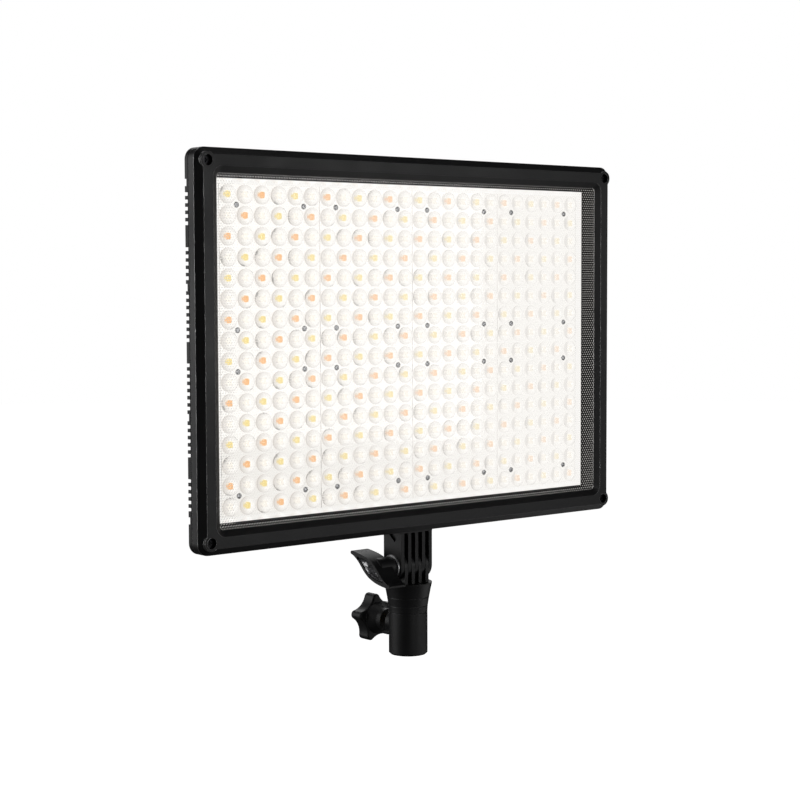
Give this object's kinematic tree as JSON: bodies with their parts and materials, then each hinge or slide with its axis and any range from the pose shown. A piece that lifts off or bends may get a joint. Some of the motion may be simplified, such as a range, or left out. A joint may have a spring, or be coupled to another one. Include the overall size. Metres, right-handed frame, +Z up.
{
  "type": "led panel light",
  "caption": "Rectangular LED panel light with domed lens array behind a clear light guide, rear controls and battery plates, on a tilting stand adapter with a clamp lever and star knob.",
  "frame": {"origin": "centre of the stand socket's mouth, at the bottom of the stand adapter", "axes": "+Z up along the stand socket's axis, -Y towards where the panel shines, +X to the right of someone facing the panel"},
  "size_m": [0.332, 0.0584, 0.3105],
  "materials": {
    "black_metal": "matte fine-textured black",
    "black_plastic": "matte black plastic",
    "frame_plastic": "dull black",
    "clear_acrylic": "clear acrylic with printed dots",
    "lens_acrylic": "clear moulded acrylic over a white board",
    "white_mask": "white solder mask",
    "daylight_phosphor": "yellow phosphor",
    "tungsten_phosphor": "orange phosphor",
    "clear_chip": "clear encapsulant",
    "steel": "zinc plated",
    "bright_steel": "bright plated",
    "black_steel": "black oxide",
    "aluminium": "bare sheet",
    "circuit_green": "green solder mask",
    "component_grey": "moulded components",
    "display_glass": "smoked window",
    "brass": "plated brass",
    "badge_silver": "bright foil",
    "nylon": "natural nylon"
  },
  "bodies": {
    "stand_adapter": {"stand_adapter": "black_plastic", "thread_insert": "brass"},
    "lamp_head": {"battery_contacts": "brass", "battery_plate_left": "black_plastic", "battery_plate_right": "black_plastic", "battery_plate_screws": "black_steel", "board_spacers": "brass", "bracket_screws": "steel", "brightness_encoder": "steel", "colour_encoder": "steel", "control_board": "circuit_green", "control_fascia": "black_plastic", "corner_screws": "black_steel", "dc_inlet": "black_plastic", "display_module": "component_grey", "display_window": "display_glass", "driver_board": "circuit_green", "driver_components": "component_grey", "edge_led_strip_left": "white_mask", "edge_led_strip_right": "white_mask", "fascia_screws": "black_steel", "front_bezel": "black_metal", "heat_spreader": "aluminium", "inner_frame": "frame_plastic", "led_board": "white_mask", "led_chips_colour": "clear_chip", "led_chips_daylight": "daylight_phosphor", "led_chips_tungsten": "tungsten_phosphor", "lens_screws": "steel", "lens_tile_1": "lens_acrylic", "lens_tile_2": "lens_acrylic", "lens_tile_3": "lens_acrylic", "lens_tile_4": "lens_acrylic", "lens_tile_5": "lens_acrylic", "lens_tile_6": "lens_acrylic", "lens_tile_7": "lens_acrylic", "lens_tile_8": "lens_acrylic", "lever_washer": "bright_steel", "light_guide_plate": "clear_acrylic", "power_switch_housing": "black_plastic", "rear_shell": "black_plastic", "tact_switches": "component_grey", "tilt_bolt": "steel", "tilt_bracket": "black_plastic"},
    "lever": {"clamp_lever": "black_plastic", "lever_badge": "badge_silver"},
    "lock_pad": {"lock_pad": "nylon"},
    "lock_knob": {"lock_knob": "black_plastic", "lock_screw": "steel"},
    "brightness_dial": {"brightness_knob": "black_plastic"},
    "colour_dial": {"colour_knob": "black_plastic"},
    "mode_key": {"mode_button": "black_plastic"},
    "menu_key": {"menu_button": "black_plastic"},
    "power_switch": {"power_rocker": "black_plastic"},
    "latch_left": {"battery_latch_left": "black_plastic"},
    "latch_right": {"battery_latch_right": "black_plastic"}
  },
  "joints": [
    {"name": "head_tilt", "type": "hinge", "parent": "stand_adapter", "child": "lamp_head", "pos_m": [0, 0, 0.0564], "axis": [1, 0, 0], "range_deg": [-90, 90]},
    {"name": "lever_turn", "type": "hinge", "parent": "lamp_head", "child": "lever", "pos_m": [0, 0, 0.0564], "axis": [1, 0, 0], "range_deg": [-180, 0]},
    {"name": "pad_slide", "type": "slide", "parent": "stand_adapter", "child": "lock_pad", "axis": [0, 1, 0], "range_m": [-0.004, 0.002]},
    {"name": "knob_turn", "type": "hinge", "parent": "lock_pad", "child": "lock_knob", "pos_m": [0, 0.03, 0.0183], "axis": [0, 1, 0], "range_deg": [-1440, 720]},
    {"name": "brightness_turn", "type": "hinge", "parent": "lamp_head", "child": "brightness_dial", "pos_m": [-0.034, 0.02, 0.153], "axis": [0, 1, 0], "continuous": true},
    {"name": "colour_turn", "type": "hinge", "parent": "lamp_head", "child": "colour_dial", "pos_m": [0.034, 0.02, 0.153], "axis": [0, 1, 0], "continuous": true},
    {"name": "mode_press", "type": "slide", "parent": "lamp_head", "child": "mode_key", "axis": [0, 1, 0], "range_m": [-0.0004, 0], "stiffness_N_per_m": 1500, "springref_m": 0.0002},
    {"name": "menu_press", "type": "slide", "parent": "lamp_head", "child": "menu_key", "axis": [0, 1, 0], "range_m": [-0.0004, 0], "stiffness_N_per_m": 1500, "springref_m": 0.0002},
    {"name": "power_rock", "type": "hinge", "parent": "lamp_head", "child": "power_switch", "pos_m": [-0.022, 0.0138, 0.125], "axis": [0, 0, 1], "range_deg": [-16, 0]},
    {"name": "latch_left_press", "type": "slide", "parent": "lamp_head", "child": "latch_left", "axis": [0, 1, 0], "range_m": [-0.0014, 0], "stiffness_N_per_m": 800, "springref_m": 0.0005},
    {"name": "latch_right_press", "type": "slide", "parent": "lamp_head", "child": "latch_right", "axis": [0, 1, 0], "range_m": [-0.0014, 0], "stiffness_N_per_m": 800, "springref_m": 0.0005}
  ],
  "couplings": [
    {"joint": "knob_turn", "follows": "pad_slide", "rad_per_m": 6283.2}
  ]
}
